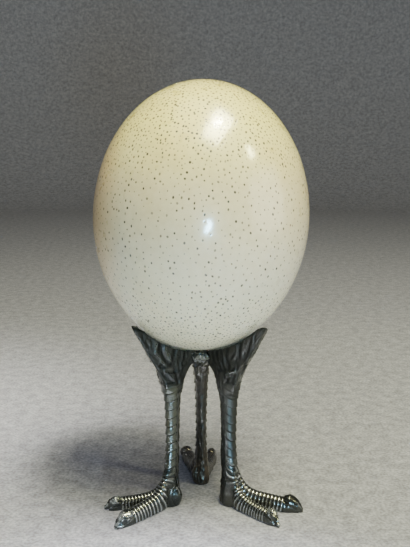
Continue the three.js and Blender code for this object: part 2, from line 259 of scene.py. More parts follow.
FOLD_SPANS = 5
FOLD_WIDENING = 1.25
FOLD_SOFTENING = 0.36
FOLD_LIP = 0.35
FOLD_LIP_PLACE = 1.9
FOLD_LIP_WIDTH = 0.8
FOLD_MAP_BOX = ((0, 70), (52, 120))
FOLD_MAP_STEP = 0.15
FOLD_WANDER_X = ((1.1, 5.0, 31),)
FOLD_WANDER_Z = ((1.1, 5.0, 32),)
FOLD_SHADE = (0.05, 0.35)
FOLD_CREST = (0.1, 0.3)
BRACKET_FACE = (0.25, 0.6)
BRACKET_FACE_HEIGHTS = (74, 80)
BRACKET_GRAIN = ((0.17, (1.1, 1.1, 2.2), 5), (0.085, 0.6, 6), (0.22, (2.6, 2.6, 4.2), 33))
CAST_SKIN = ((0.05, 2.6, 7), (0.03, 1.1, 8))
NAIL_GRAIN = ((0.10, (4.5, 1.1, 1.1), 10),)
NAIL_LUMPS = ((1, 1.9, 12), (0.5, (1.4, 0.7, 0.7), 13))
NAIL_LUMP_HEIGHT = 0.42
NAIL_WEAR_DEPTH = 0.25
NAIL_EDGE = (0.35, -0.1)
NAIL_REACH = (0.8, 0.3)
SCRAPED = (-0.1, 0.5)

BARK_GRAIN = ((1, (0.9, 0.9, 3.6), 3), (0.6, (0.55, 0.55, 1.4), 4))
BARK_DEPTH = 0.42
BARK_SIDE = (76, 52)
BARK_HEIGHTS = (0.5, 2.5, 76, 88)
BARK_SHADE = (-0.1, -0.8)
HEEL_EDGE = 0.45
HEEL_EDGE_AROUND = 178
HEEL_EDGE_WIDTH = 14
HEEL_EDGE_HEIGHTS = (44, 34)
HEEL_CREASES = ((4.2, 1.0), (6.2, 0.6))
HEEL_CREASE_WIDTH = 0.5
HEEL_CREASE_DEPTH = 0.5
HEEL_FLATTENING = 0.7
HEEL_CREASES_OUT = (19.5, 21.5)
HEEL_CREASES_SIDE = (1.0, 2.5)
HEEL_CREASES_UP = (18, 13)

# How strongly each kind of detail marks the metal as sunken or as worn bright, and the seat's rim as
# a painted highlight.
FOLD_CAVITY = 0.9
CREASE_CAVITY = 0.8
BARK_MARK = 0.8
NAIL_CREST = 0.4
SCRAPED_CREST = 0.8
FOLD_CREST_MARK = 0.4
BARK_DULL_HEIGHTS = (80, 70)
POLISHED_EDGE = (0.2, 0.7)
EDGE_POLISH = 0.8
FOLD_POLISH = 0.6
# Along the seat's rim the metal is made lighter: a painted highlight.
SEAT_RIM_HIGHLIGHT = 0.7
SEAT_REACH = (1.5, 0.8)
MATTE_HEIGHTS = (22, 36, 76, 84)
RUST_HEIGHTS = (34, 14)
RUST_ABOVE = 0.4
SOLE_HEIGHTS = (0.05, 0.9)

# ---------------- hub

HUB_CENTRE_X = -0.5
HUB_RADIUS = 6.6
HUB_HEIGHTS = (86.3, 98.6)
HUB_NECK = 0.55
HUB_NECK_HEIGHTS = (85.3, 89.8)
HUB_LUMPS = ((0.55, 2.9, 21), (0.33, 1.3, 22))
HUB_SKIN = ((1, 0.9, 23),)
HUB_SKIN_HEIGHT = 0.12
HUB_SHADE = (0.1, -0.6)
HUB_WORN = (0.2, 0.9)
HUB_CREST = 0.6
HUB_FILLET = 1.0
HUB_SEAT_FILLET = 0.8
HUB_LOW = np.array([-10.0, -10.0, 84.0])
HUB_HIGH = np.array([10.0, 10.0, 101.0])
SOLDER_PLACE = (-0.2, -5.0, 92.6)
SOLDER_HALF = (6.4, 3.3, 4.6)
HUB_STEP = 0.25

# ---------------- number helpers

CURVE_STEP = 0.1
NOISE_TABLE = 8192
NOISE_PRIMES = (73856093, 19349663, 83492791)


def eased(stations, column, blur):
    """A smooth curve through one column of a table, as a function of the first column."""
    knots = np.array(stations, float)
    fine = np.arange(knots[0, 0] - 2 * blur, knots[-1, 0] + 2 * blur, CURVE_STEP)
    values = np.interp(fine, knots[:, 0], knots[:, column])
    half = int(blur / CURVE_STEP)
    kernel = np.hanning(2 * half + 3)[1:-1]
    smooth = np.convolve(np.pad(values, half, mode="edge"), kernel / kernel.sum(), mode="valid")
    return lambda where: np.interp(where, fine, smooth)


def ramp(value, start, end):
    """From 0 at start to 1 at end, with soft ends."""
    share = np.clip((value - start) / (end - start), 0, 1)
    return share * share * (3 - 2 * share)


def between(value, start, full, fading, gone):
    """1 from full to fading and 0 outside start to gone, with soft ends."""
    return ramp(value, start, full) * ramp(value, gone, fading)


def bell(value, width):
    """1 at 0, falling away over about one width."""
    return np.exp(-((value / width) ** 2))


def unit(vectors):
    """Vectors cut or drawn out to a length of 1."""
    return vectors / np.maximum(np.linalg.norm(vectors, axis=-1, keepdims=True), 1e-6)


def swung(a, b, angle):
    """Two coordinates turned by an angle in radians, from the first towards the second."""
    c, s = math.cos(angle), math.sin(angle)
    return a * c - b * s, a * s + b * c


def ball(points, centre, half):
    """Distance to a ball with its own half size along each axis, near enough."""
    scaled = (points - np.array(centre)) / np.array(half)
    return (np.linalg.norm(scaled, axis=1) - 1) * min(half)


def oval(a, b, half_a, half_b):
    """Distance from (a, b) to an ellipse around the origin, close to true near its edge."""
    reach = np.maximum(np.hypot(a / half_a, b / half_b), 1e-3)
    slope = np.hypot(a / half_a**2, b / half_b**2)
    slope = np.maximum(slope, 1e-3 / np.maximum(half_a, half_b))
    return reach * (reach - 1) / slope


def merge(a, b, blend):
    """The union of two fields, with a fillet."""
    share = np.clip(0.5 + 0.5 * (b - a) / blend, 0, 1)
    return b + (a - b) * share - blend * share * (1 - share)


def carve(a, b, blend):
    """Field a where field b isn't, with a rounded edge."""
    return -merge(-a, b, blend)


def noise(points, cell, seed):
    """Smooth noise between -1 and 1. The cell is one size, or one for each axis."""
    table = np.random.default_rng(seed).uniform(-1, 1, NOISE_TABLE)
    scaled = points / np.asarray(cell, float)
    base = np.floor(scaled).astype(np.int64)
    part = scaled - base
    weight = part * part * (3 - 2 * part)
    total = np.zeros(len(points))
    for corner in itertools.product((0, 1), repeat=3):
        pick = np.bitwise_xor.reduce((base + corner) * NOISE_PRIMES, axis=1)
        share = np.where(corner, weight, 1 - weight).prod(axis=1)
        total += share * table[pick % NOISE_TABLE]
    return total


def layered(points, layers):
    """Layers of noise added up. A layer is its strength, cell and seed."""
    return sum(strength * noise(points, cell, seed) for strength, cell, seed in layers)


def spline(points, spans=6):
    """A smooth line through a few points."""
    p = np.array(points, float)
    p = np.vstack([2 * p[0] - p[1], p, 2 * p[-1] - p[-2]])
    t = (np.arange(spans) / spans)[:, None]
    line = []
    for a, b, c, d in zip(p, p[1:], p[2:], p[3:]):
        bend = (2 * a - 5 * b + 4 * c - d) * t**2 + (3 * b - a - 3 * c + d) * t**3
        line.append(b + 0.5 * ((c - a) * t + bend))
    return np.vstack([*line, p[-2]])


def line_distance(x, z, line):
    """Distance to a line through points, and the length of line before the nearest place."""
    best = np.full(np.shape(x), np.inf)
    along = np.zeros(np.shape(x))
    travelled = 0.0
    for start, end in zip(line[:-1], line[1:]):
        delta = end - start
        length = float(np.hypot(*delta))
        if length < 1e-9:
            continue
        share = ((x - start[0]) * delta[0] + (z - start[1]) * delta[1]) / length**2
        share = np.clip(share, 0, 1)
        gap = np.hypot(x - start[0] - share * delta[0], z - start[1] - share * delta[1])
        nearer = gap < best
        best = np.where(nearer, gap, best)
        along = np.where(nearer, travelled + share * length, along)
        travelled += length
    return best, along


def outline_field(x, z, outline):
    """Distance to a closed outline, negative inside it."""
    ring = np.vstack([outline, outline[:1]])
    gap, _ = line_distance(x, z, ring)
    inside = np.zeros(np.shape(x), bool)
    for (x0, z0), (x1, z1) in zip(ring[:-1], ring[1:]):
        if z0 == z1:
            continue
        crosses = (z0 > z) != (z1 > z)
        inside ^= crosses & (x < x0 + (z - z0) * (x1 - x0) / (z1 - z0))
    return np.where(inside, -gap, gap)


def sampled(low, high, step, values_of):
    """values_of(x, z) kept on a grid between two corners, as a function that reads it back."""
    xs = np.arange(low[0], high[0] + step, step)
    zs = np.arange(low[1], high[1] + step, step)
    grid = values_of(*np.meshgrid(xs, zs, indexing="ij"))

    def read(x, z):
        column = np.clip((x - low[0]) / step, 0, len(xs) - 1.001)
        row = np.clip((z - low[1]) / step, 0, len(zs) - 1.001)
        i, j = column.astype(int), row.astype(int)
        u, v = column - i, row - j
        near = (1 - v) * grid[i, j] + v * grid[i, j + 1]
        far = (1 - v) * grid[i + 1, j] + v * grid[i + 1, j + 1]
        return (1 - u) * near + u * far

    return read


def turned(points, degrees):
    """Points turned around the Z axis."""
    c, s = math.cos(math.radians(degrees)), math.sin(math.radians(degrees))
    return points @ np.array([[c, s, 0], [-s, c, 0], [0, 0, 1]])


# ---------------- meshes from fields

COARSE = 4
NEAR_CELLS = 1.4
SLOPE_REACH = 0.05
LEAST_SLOPE = 0.2


def grid_points(low, step, where):
    """Points of a grid, from their whole steps along each axis."""
    return low + step * np.stack(where, axis=1)


def field_values(field, low, high, step):
    """A field on a grid, read finely only close to its surface."""
    cells = np.ceil((high - low) / (step * COARSE)).astype(int)
    corners = np.indices(cells + 1).reshape(3, -1)
    coarse = field(grid_points(low, step * COARSE, corners)).reshape(cells + 1)
    least = np.full(cells, np.inf)
    for dx, dy, dz in itertools.product((0, 1), repeat=3):
        part = coarse[dx : dx + cells[0], dy : dy + cells[1], dz : dz + cells[2]]
        least = np.minimum(least, np.abs(part))
    near = least < NEAR_CELLS * COARSE * step
    big = near.repeat(COARSE, 0).repeat(COARSE, 1).repeat(COARSE, 2)
    values = np.ones(cells * COARSE + 1)
    signs = np.sign(coarse[:-1, :-1, :-1])
    values[:-1, :-1, :-1] = signs.repeat(COARSE, 0).repeat(COARSE, 1).repeat(COARSE, 2)
    wanted = np.zeros(values.shape, bool)
    for dx, dy, dz in itertools.product((0, 1), repeat=3):
        wanted[dx : dx + big.shape[0], dy : dy + big.shape[1], dz : dz + big.shape[2]] |= big
    where = np.nonzero(wanted)
    values[where] = field(grid_points(low, step, where))
    return values


def surface_net(field, low, high, step):
    """Points and four-sided faces of the surface where a field is zero."""
    values = field_values(field, low, high, step)
    inside = values < 0
    shape = np.array(values.shape) - 1
    cell_ids, crossings, faces_out = [], [], []
    for axis in range(3):
        first = tuple(slice(0, -1) if a == axis else slice(None) for a in range(3))
        second = tuple(slice(1, None) if a == axis else slice(None) for a in range(3))
        edge = np.nonzero(inside[first] != inside[second])
        start, end = values[first][edge], values[second][edge]
        place = np.stack(edge, axis=1).astype(float)
        place[:, axis] += start / (start - end)
        one, two = [a for a in range(3) if a != axis]
        ids = []
        for step_one, step_two in ((-1, -1), (0, -1), (0, 0), (-1, 0)):
            cell = np.stack(edge, axis=1)
            cell[:, one] += step_one
            cell[:, two] += step_two
            ids.append(np.ravel_multi_index(cell.T, shape))
        outward = inside[first][edge] != (axis == 1)
        cell_ids.append(np.stack(ids, axis=1))
        crossings.append(place)
        faces_out.append(outward)
    ids = np.concatenate(cell_ids)
    used, index = np.unique(ids, return_inverse=True)
    faces = index.reshape(ids.shape)
    places = np.repeat(np.concatenate(crossings), 4, axis=0)
    count = np.bincount(faces.ravel())
    points = np.stack([np.bincount(faces.ravel(), places[:, a]) for a in range(3)], axis=1)
    flip = ~np.concatenate(faces_out)
    faces[flip] = faces[flip][:, ::-1]
    return low + step * points / count[:, None], faces


def slope_of(field, points, reach=SLOPE_REACH):
    """The direction in which a field grows."""
    parts = []
    for axis in range(3):
        shift = np.zeros(3)
        shift[axis] = reach
        parts.append((field(points + shift) - field(points - shift)) / (2 * reach))
    return np.stack(parts, axis=1)


def settled(field, points, rounds=3, most=0.15):
    """Points moved onto a field's surface, and the outward direction at each."""
    for _ in range(rounds):
        slope = slope_of(field, points)
        size = np.maximum((slope**2).sum(axis=1), LEAST_SLOPE)
        move = -(field(points) / size)[:, None] * slope
        length = np.linalg.norm(move, axis=1, keepdims=True)
        points = points + move * np.minimum(1, most / np.maximum(length, 1e-9))
    return points, unit(slope_of(field, points))


def linked(name, data):
    """An object in the scene."""
    thing = bpy.data.objects.new(name, data)
    bpy.context.scene.collection.objects.link(thing)
    return thing


def make_mesh(name, points, faces, attributes):
    """A Blender object from points in millimetres, with a number at each point for the materials."""
    mesh = bpy.data.meshes.new(name)
    sides = faces.shape[1]
    mesh.vertices.add(len(points))
    mesh.vertices.foreach_set("co", (points * MM).astype(np.float32).ravel())
    mesh.loops.add(faces.size)
    mesh.loops.foreach_set("vertex_index", faces.astype(np.int32).ravel())
    mesh.polygons.add(len(faces))
    mesh.polygons.foreach_set("loop_start", np.arange(0, faces.size, sides, dtype=np.int32))
    mesh.polygons.foreach_set("use_smooth", np.ones(len(faces), bool))
    mesh.update(calc_edges=True)
    for key, values in attributes.items():
        layer = mesh.attributes.new(key, "FLOAT", "POINT")
        layer.data.foreach_set("value", values.astype(np.float32))
    return linked(name, mesh)


# ---------------- egg


def egg_frame(points):
    """World points in the egg's own upright frame, from its middle."""
    x, y, z = (points - np.array(EGG_CENTRE)).T
    x, z = swung(x, z, EGG_LEAN)
    return np.stack([x, y, z], axis=1)


def egg_narrowing(sine):
    """How much slimmer the egg is than an ellipsoid: only its lower half tapers."""
    return 1 - EGG_TAPER * np.maximum(0, -sine) ** 2


def egg_field(points):
    """Distance from the egg's surface."""
    x, y, z = egg_frame(points).T
    narrow = egg_narrowing(np.clip(z / EGG_HALF_HEIGHT, -1, 1))
    return oval(np.hypot(x, y) / narrow, z, EGG_RADIUS, EGG_HALF_HEIGHT)


def egg_shape(directions, sink):
    """Surface points for directions on a unit ball, each sunk by some depth."""
    z = directions[:, 2]
    narrow = egg_narrowing(z)
    half = np.array([EGG_RADIUS, EGG_RADIUS, EGG_HALF_HEIGHT])
    own = half * directions * np.stack([narrow, narrow, np.ones(len(z))], axis=1)
    swell = layered(own, EGG_UNEVENNESS) - sink
    x, y, z = (own + unit(directions / half) * swell[:, None]).T
    x, z = swung(x, z, -EGG_LEAN)
    return np.stack([x, y, z], axis=1) + np.array(EGG_CENTRE)


def spiral_directions(count):
    """Evenly spread directions on a unit ball, along a spiral from its top to its bottom."""
    turn = np.arange(count) + 0.5
    height = 1 - 2 * turn / count
    angle = math.pi * (1 + math.sqrt(5)) * turn
    flat = np.sqrt(1 - height**2)
    return np.stack([flat * np.cos(angle), flat * np.sin(angle), height], axis=1)


def egg_area():
    """Area of the egg, near enough."""
    across, up = EGG_RADIUS**ELLIPSOID_POWER, EGG_HALF_HEIGHT**ELLIPSOID_POWER
    mean = (across * across + 2 * across * up) / 3
    return 4 * math.pi * mean ** (1 / ELLIPSOID_POWER)


def pore_places(rng):
    """Directions and radii of the pores: scattered, but never close together."""
    wanted = int(PORE_DENSITY * egg_area())
    tries = unit(rng.normal(size=(wanted * PORE_TRIES, 3)))
    size = rng.uniform(size=len(tries)) ** PORE_SMALLNESS
    places = egg_shape(tries, np.zeros(len(tries)))
    middle = ramp(np.abs(tries[:, 2] - PORE_MIDDLE), *PORE_MIDDLE_REACH)
    skipped = rng.uniform(size=len(tries)) < PORE_SPARSE_MIDDLE * middle
    spread = PORE_CLEARANCE * (1 + (PORE_CLEARANCE_MIDDLE - 1) * middle)
    paired = rng.uniform(size=len(tries)) < PORE_PAIRS
    bucket = PORE_CLEARANCE * PORE_CLEARANCE_MIDDLE
    kept, buckets = [], {}
    for i, place in enumerate(places):
        if skipped[i] or len(kept) >= wanted:
            continue
        key = tuple(np.floor(place / bucket).astype(int))
        around = itertools.product(*[(k - 1, k, k + 1) for k in key])
        close = [j for k in around for j in buckets.get(k, ())]
        clearance = spread[i] * (PORE_PAIR_SHARE if paired[i] else 1.0)
        if all(np.sum((places[j] - place) ** 2) > clearance**2 for j in close):
            kept.append(i)
            buckets.setdefault(key, []).append(i)
    kept = np.array(kept)
    low, high = PORE_RADIUS
    return tries[kept], low + (high - low) * size[kept]


def ring_around(centres, radii, count, phase, stretch):
    """A ring of directions around each centre, a little longer one way than the other."""
    side = unit(np.cross(centres, SKEW_AXIS))
    other = np.cross(centres, side)
    rings = []
    for i in range(count):
        angle = 2 * math.pi * i / count + phase
        a = (np.cos(angle) * radii * stretch)[:, None]
        b = (np.sin(angle) * radii / stretch)[:, None]
        rings.append(centres + side * a + other * b)
    return unit(np.concatenate(rings))


def ball_faces(directions):
    """Triangles between points spread over a ball: a flat mesh seen from the ball's last point."""
    pole = directions[-1]
    side = unit(np.cross(pole, X_AXIS))
    other = np.cross(pole, side)
    rest = directions[:-1]
    depth = 1 - rest @ pole
    flat = np.stack([rest @ side / depth, rest @ other / depth], axis=1)
    result = delaunay_2d_cdt([Vector(p) for p in flat.tolist()], [], [], 0, 1e-9)
    faces = np.array(result[2])
    original = np.array([ids[0] for ids in result[3]])
    faces = original[faces]
    edges = np.concatenate([faces[:, [0, 1]], faces[:, [1, 2]], faces[:, [2, 0]]])
    both = np.sort(edges, axis=1)
    _, first, count = np.unique(both, axis=0, return_index=True, return_counts=True)
    rim = edges[first[count == 1]]
    cap = np.stack([rim[:, 1], rim[:, 0], np.full(len(rim), len(rest))], axis=1)
    faces = np.concatenate([faces, cap])
    middle = directions[faces].mean(axis=1)
    a, b, c = (directions[faces[:, k]] for k in range(3))
    if (np.cross(b - a, c - a) * middle).sum() < 0:
        faces = faces[:, ::-1]
    return faces


def make_egg():
    rng = np.random.default_rng(EGG_SEED)
    scale = (EGG_RADIUS**2 * EGG_HALF_HEIGHT) ** (1 / 3)
    centres, radii = pore_places(rng)
    stretch = rng.uniform(*PORE_LENGTHENING, len(centres))
    phase = rng.uniform(0, 2 * math.pi, len(centres))
    depth = radii * PORE_DEPTH_SHARE * rng.uniform(*PORE_DEPTHS, len(centres))
    reach = radii / scale
    inner = ring_around(centres, reach * PORE_WALL, PORE_WALL_POINTS, phase, stretch)
    outer = ring_around(centres, reach * PORE_LIP, PORE_LIP_POINTS, phase, stretch)
    base = spiral_directions(int(egg_area() / (POINT_PACKING * EGG_POINT_SPACING**2)))
    base = clear_of(base, centres, PORE_RIM * reach)
    directions = np.concatenate([centres, inner, outer, base])
    shell = np.zeros(len(outer) + len(base))

    def over_pores(value, wall_share):
        return np.concatenate([value, np.tile(value * wall_share, PORE_WALL_POINTS), shell])

    # Pore darkness: dirt in the pores and painted shade of their pits.
    dark = rng.uniform(*PORE_DARKNESS, len(centres)) * ramp(radii, *PORE_DARKENING)
    dark *= 1 + PORE_TOP_DARKENING * ramp(centres[:, 2], *PORE_TOP)
    points = egg_shape(directions, over_pores(depth, PORE_WALL_DEPTH))
    marks = {"pore": over_pores(dark, PORE_WALL_DARKNESS)}
    return make_mesh("egg_shell", points, ball_faces(directions), marks)


def clear_of(points, centres, radii):
    """The points that lie outside every centre's radius."""
    tree = KDTree(len(points))
    for i, point in enumerate(points):
        tree.insert(point, i)
    tree.balance()
    keep = np.ones(len(points), bool)
    for centre, radius in zip(centres, radii):
        for _, i, _ in tree.find_range(centre, radius):
            keep[i] = False
    return points[keep]


# ---------------- legs

shank_out, shank_major, shank_minor = (
    eased(SHANK_STATIONS, column, blur) for column, blur in enumerate(SHANK_BLURS, 1)
)


def shank_frame(points):
    """Distances along the two half axes of the shank's oval."""
    x, y, z = points.T
    return swung(x - shank_out(z), y, -SHANK_TURN)


def shank_field(points):
    a, b = shank_frame(points)
    z = points[:, 2]
    return np.maximum(oval(a, b, shank_major(z), shank_minor(z)), z - SHANK_TOP)


def toe_frame(points, degrees):
    """Distance along a toe and to its left side."""
    own = turned(points - np.array([LEG_AXIS, 0, 0]), -degrees)
    return own[:, 0], own[:, 1]


def toe_shapes(toe):
    """The fields of a toe's body and nail, by distance along it, to its side and up."""
    height, half = (eased(toe["body"], column, TOE_BLUR) for column in (1, 2))
    first, last = toe["body"][0][0], toe["body"][-1][0]
    side, middle, wide, rise = (eased(toe["nail"], column, NAIL_BLUR) for column in (1, 2, 3, 4))
    nail_first, nail_last = toe["nail"][0][0], toe["nail"][-1][0]

    def body(s, t, z):
        lift = (height(s) - TOE_FLAT) / 2
        pad = 1 + TOE_PAD_SWELL * np.sin(s * TOE_PAD_WAVE + TOE_PAD_START) * ramp(z, *TOE_PAD_HEIGHTS)
        shell = oval(t, z - lift, half(s) * pad, height(s) - lift)
        return np.maximum(shell, np.maximum(first - s, s - last))

    def nail(s, t, z):
        shell = oval(t - side(s), z - middle(s), wide(s), rise(s))
        return np.maximum(shell, np.maximum(nail_first - s, s - nail_last))

    return body, nail


TOES = {"big": BIG_TOE, "small": SMALL_TOE}
TOE_FORMS = {name: toe_shapes(toe) for name, toe in TOES.items()}


def bracket_outline():
    edges = (BRACKET_INNER_EDGE, BRACKET_SEAT_EDGE, BRACKET_OUTER_EDGE)
    inner, seat, outer = (spline(edge) for edge in edges)
    return np.concatenate([inner[:-1], seat[:-1], outer])


bracket_flat = sampled(
    *BRACKET_MAP_BOX, MAP_STEP, lambda x, z: outline_field(x, z, bracket_outline())
)


def bracket_half(x, z, most):
    """Half thickness of a bracket: wider where it meets the hub, and thin at the wing's tip."""
    low, high = BRACKET_HALF
    share = ramp(z, *BRACKET_HEIGHTS)
    wing = ramp(x, *WING_PLACES) * share
    flare = most * ramp(x, *FLARE_PLACES) * ramp(z, *FLARE_HEIGHTS)
    foot = BRACKET_FOOT * ramp(z, *BRACKET_FOOT_HEIGHTS)
    return (low + (high - low) * share) * (1 - WING_THINNING * wing) + flare - foot


def bracket_field(points, flare):
    """Distance to a bracket: a plate of its outline with rounded edges and a tilted wing."""
    x, y, z = points.T
    tilt = WING_TILT * y * ramp(x, *WING_TILT_PLACES)
    notch = NOTCH_DEPTH * ramp(y, *NOTCH_SIDE) * between(z, *NOTCH_HEIGHTS)
    flat = bracket_flat(x + notch * (x > NOTCH_FROM), z + tilt) + BRACKET_ROUNDING
    deep = np.abs(y) - bracket_half(x, z, flare) + BRACKET_ROUNDING
    return (
        np.minimum(np.maximum(flat, deep), 0)
        + np.hypot(np.maximum(flat, 0), np.maximum(deep, 0))
        - BRACKET_ROUNDING
    )


def foot_field(points, angles):
    """The field of both toes, their nails and the heel's knob."""
    toes = np.full(len(points), FAR)
    for toe, degrees in angles.items():
        body, nail = TOE_FORMS[toe]
        s, t = toe_frame(points, degrees)
        z = points[:, 2]
        toes = merge(toes, merge(body(s, t, z), nail(s, t, z), FILLETS["nail"]), FILLETS["toes"])
    return merge(toes, ball(points, HEEL_KNOB_PLACE, HEEL_KNOB_HALF), FILLETS["heel"])


def with_bracket(shape, points, pose):
    """The upper leg with its bracket, cut back from the egg and the hub."""
    bracket = bracket_field(turned(points, -pose["bracket_turn"]), pose["flare"])
    joined = merge(shape, bracket, FILLETS["bracket"])
    world = turned(points, pose["azimuth"])
    crown = SEAT_CROWN * np.minimum(np.abs(points[:, 1]), SEAT_CROWN_REACH) ** 2
    seat = egg_field(world) - SEAT_GAP - crown
    hub = np.hypot(world[:, 0] - HUB_CENTRE_X, world[:, 1]) - HUB_RADIUS - SEAT_GAP
    return carve(carve(joined, seat, FILLETS["seat"]), hub, FILLETS["edge"])


def leg_field(pose):
    """The distance field of one leg, in the leg's own frame."""
    angles = {"big": BIG_TOE["angle"], "small": SMALL_TOE["angle"] + pose["small_toe_turn"]}

    def field(points):
        z = points[:, 2]
        foot = np.full(len(points), FAR)
        low, high = z < FOOT_BELOW, z > BRACKET_ABOVE
        if low.any():
            foot[low] = foot_field(points[low], angles)
        shape = merge(shank_field(points), foot, FILLETS["foot"])
        if high.any():
            shape[high] = with_bracket(shape[high], points[high], pose)
        return carve(shape, z, FILLETS["edge"])

    return field


# ---------------- detail on the legs


def toe_ridge(toe):
    """The line over the back of a toe, from high on the shank to the toe's end."""
    first, last = RIDGE_ON_TOE
    body = [(s, height) for s, height, _ in toe["body"] if first < s < last]
    return spline(RIDGE_ON_SHANK + body)


def ridge_map(toe):
    """Distance down a toe's ridge line, for places near it."""
    line = toe_ridge(toe)
    start = line_distance(np.array([RIDGE_OUT]), np.array([BAND_TOP]), line)[1][0]
    return sampled(*RIDGE_MAP_BOX, MAP_STEP, lambda s, z: line_distance(s, z, line)[1] - start)


RIDGE_MAPS = {name: ridge_map(toe) for name, toe in TOES.items()}


def band_phase_table(toe):
    """How many bands lie before each distance down the leg and over a toe."""
    down = np.arange(*BAND_REACH, BAND_TABLE_STEP)
    pitch = SCUTE_PITCH + (RING_PITCH[toe] - SCUTE_PITCH) * ramp(down, *RINGS_BEGIN)
    phase = np.cumsum(BAND_TABLE_STEP / pitch)
    return down, phase - np.interp(0, down, phase)


BAND_PHASES = {toe: band_phase_table(toe) for toe in TOES}


def band_relief(down, phases):
    """Height of the bands, and the shares of crest and groove, at a distance down the leg."""
    phase = np.interp(down, *phases)
    ringed = ramp(down, *RINGS_BEGIN)
    within = phase - np.floor(phase)
    lip = ramp(within, *SCUTE_LIP)
    scute = SCUTE_STEP * (SCUTE_SLOPE * within - SCUTE_SINK) * lip
    scute += SCUTE_LINES * np.cos(2 * math.pi * SCUTE_LINE_COUNT * phase)
    arch = np.abs(np.sin(math.pi * phase)) ** RING_ROUNDNESS
    relief = scute * (1 - ringed) + RING_DEPTH * arch * ringed
    worn = SCUTE_WEAR * (scute / SCUTE_STEP) ** 2
    crest = worn * (1 - ringed) + ramp(arch, *RING_CREST) * ringed
    groove = (1 - ringed) * np.maximum(1 - lip, ramp(within, *SCUTE_ROOT))
    return relief, crest, np.maximum(groove, ringed * ramp(arch, *RING_GROOVE))


def fold_map(folds, knobs):
    """Relief of the folds on one side of a bracket: grooves below it, ridges and knobs above."""

    def relief(x, z):
        total = np.zeros(np.shape(x))
        for narrow, deep, *places in folds:
            width, depth = narrow * FOLD_WIDENING, deep * FOLD_SOFTENING
            gap, _ = line_distance(x, z, spline(np.reshape(places, (-1, 2)), FOLD_SPANS))
            lips = FOLD_LIP * bell(gap - FOLD_LIP_PLACE * width, FOLD_LIP_WIDTH * width)
            total -= depth * (bell(gap, width) - (lips if depth > 0 else 0))
        for knob_x, knob_z, radius, height in knobs:
            total += height * bell(np.hypot(x - knob_x, z - knob_z), radius)
        return total

    return sampled(*FOLD_MAP_BOX, FOLD_MAP_STEP, relief)


FOLD_MAP_LEFT = fold_map(FOLDS_LEFT, [])
FOLD_MAP_RIGHT = fold_map(FOLDS_RIGHT, KNOBS_RIGHT)


def toe_detail(points, pose):
    """Where points lie on the toes: distance down, which toe, share of rings, nail and its wear."""
    z = points[:, 2]
    down = BAND_TOP - z
    nearest = np.full(len(points), np.inf)
    is_small = np.zeros(len(points), bool)
    ringed, on_nail, wear = (np.zeros(len(points)) for _ in range(3))
    for name, toe in TOES.items():
        body, nail = TOE_FORMS[name]
        degrees = toe["angle"] + (pose["small_toe_turn"] if name == "small" else 0)
        s, t = toe_frame(points, degrees)
        gap, scratch = body(s, t, z), nail(s, t, z)
        closer = gap < nearest
        down = np.where(closer, RIDGE_MAPS[name](s, z), down)
        nearest = np.where(closer, gap, nearest)
        is_small = np.where(closer, name == "small", is_small)
        end = toe["ring_end"]
        rings = ramp(gap, *RINGS_NEAR) * between(s, *RINGS_OUT, end - RINGS_STOP, end + RINGS_FADE)
        ringed = np.where(closer, rings, ringed)
        here = ramp(scratch - gap, *NAIL_EDGE) * ramp(scratch, *NAIL_REACH)
        on_nail = np.maximum(on_nail, here)
        wear = np.maximum(wear, here * pose["nail_wear"][name])
    return down, is_small, ringed, on_nail, wear


def leg_bands(points, around, pose):
    """Relief and grooves of the scutes down the shank and the rings over the toes."""
    z = points[:, 2]
    down = BAND_TOP - z
    is_small = np.zeros(len(points), bool)
    on_toe, on_nail, wear = (np.zeros(len(points)) for _ in range(3))
    low = z < TOE_BELOW
    found = toe_detail(points[low], pose)
    down[low], is_small[low], on_toe[low], on_nail[low], wear[low] = found
    rise = np.zeros(len(points))
    for sign, (start, end, most) in zip((-1, 1), SCUTE_RISE):
        share = np.clip((sign * around - start) / (end - start), 0, SCUTE_RISE_MOST)
        rise += most * share**SCUTE_RISE_BEND
    down = down + (rise + pose["scutes_up"]) * ramp(z, *SCUTE_RISE_HEIGHTS)
    down += layered(points, SCUTE_SWAY)
    on_shank = between(around, *SCUTE_SIDES) * between(z, *SCUTE_HEIGHTS)
    share = np.maximum(on_shank, on_toe) * (1 - on_nail)
    bands = {name: band_relief(down, BAND_PHASES[name]) for name in TOES}
    parts = [np.where(is_small, *pair) * share for pair in zip(bands["small"], bands["big"])]
    return *parts, on_nail, wear


def bark(points, around):
    """The rough, upright grain on the back of a leg."""
    z = points[:, 2]
    back = ramp(180 - np.abs(around), *BARK_SIDE) * between(z, *BARK_HEIGHTS)
    grain = layered(points, BARK_GRAIN)
    edge = bell(np.abs(around) - HEEL_EDGE_AROUND, HEEL_EDGE_WIDTH) * ramp(z, *HEEL_EDGE_HEIGHTS)
    cavity = BARK_MARK * back * ramp(grain, *BARK_SHADE)
    return BARK_DEPTH * grain * back + HEEL_EDGE * edge, cavity, back


def bracket_folds(points, normals, pose):
    """The folds over a bracket's two faces."""
    x, _, z = turned(points, -pose["bracket_turn"]).T
    side = ramp(z, *BRACKET_FACE_HEIGHTS)
    x = x + layered(points, FOLD_WANDER_X)
    z = z + layered(points, FOLD_WANDER_Z)
    facing = ramp(np.abs(normals[:, 1]), *BRACKET_FACE) * side
    folds = np.where(normals[:, 1] > 0, FOLD_MAP_LEFT(x, z), FOLD_MAP_RIGHT(x, z)) * facing
    relief = folds + side * layered(points, BRACKET_GRAIN)
    return relief, ramp(-folds, *FOLD_SHADE), ramp(folds, *FOLD_CREST), side


def heel_creases(points):
    x, y, z = points.T
    heel_x, _, heel_z = HEEL_KNOB_PLACE
    collar = np.hypot(x - heel_x, HEEL_FLATTENING * (z - heel_z))
    lines = sum(share * bell(collar - far, HEEL_CREASE_WIDTH) for far, share in HEEL_CREASES)
    lines = lines * ramp(x, *HEEL_CREASES_OUT) * ramp(y, *HEEL_CREASES_SIDE)
    return lines * ramp(z, *HEEL_CREASES_UP)


